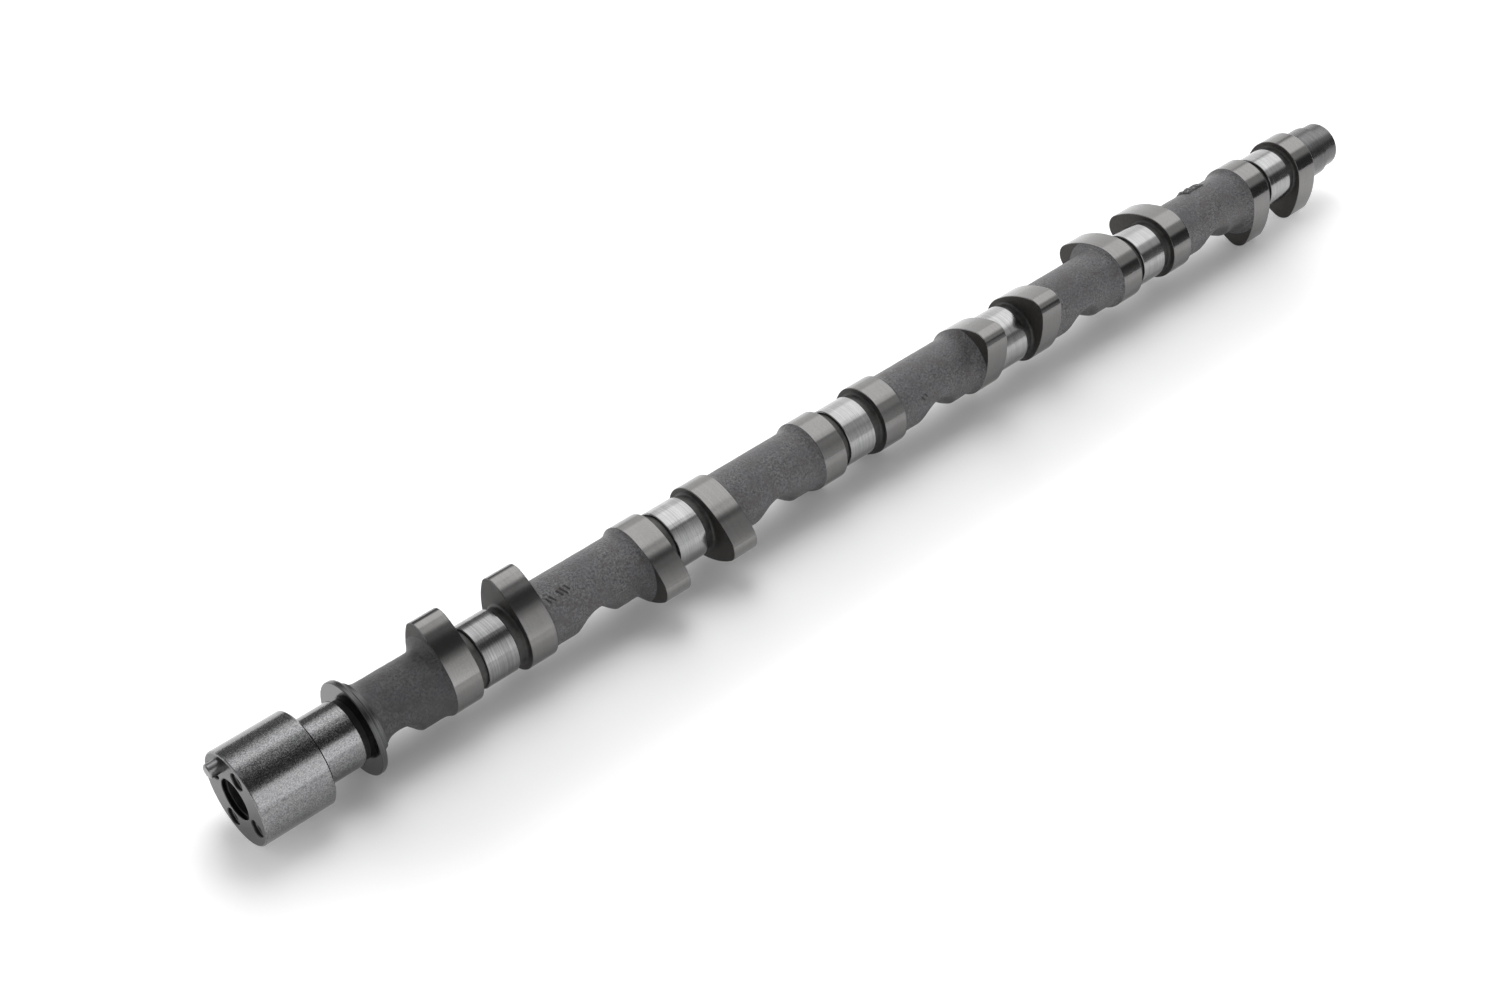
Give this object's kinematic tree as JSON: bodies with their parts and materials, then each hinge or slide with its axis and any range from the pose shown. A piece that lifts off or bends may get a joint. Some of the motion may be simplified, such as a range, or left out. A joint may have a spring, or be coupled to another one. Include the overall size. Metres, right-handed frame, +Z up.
{
  "type": "camshaft",
  "caption": "Overhead camshaft cast in one piece, with a pair of lobes astride each bearing journal, a thrust flange, and a drum nose with tapped holes and a dowel pin.",
  "frame": {"origin": "on the shaft's axis in the plane of the front face that the timing gear bolts to", "axes": "+X along the axis from the front face to the rear end, +Z up as the shaft lies on a flat floor, +Y to complete the right-handed frame"},
  "size_m": [0.6694, 0.0512, 0.0482],
  "materials": {
    "cast_shaft": "rough cast between the lobes, ground on journals, lobes, nose and flange",
    "pin_steel": "ground"
  },
  "bodies": {
    "root": {"camshaft": "cast_shaft", "dowel_pin": "pin_steel"}
  },
  "joints": []
}
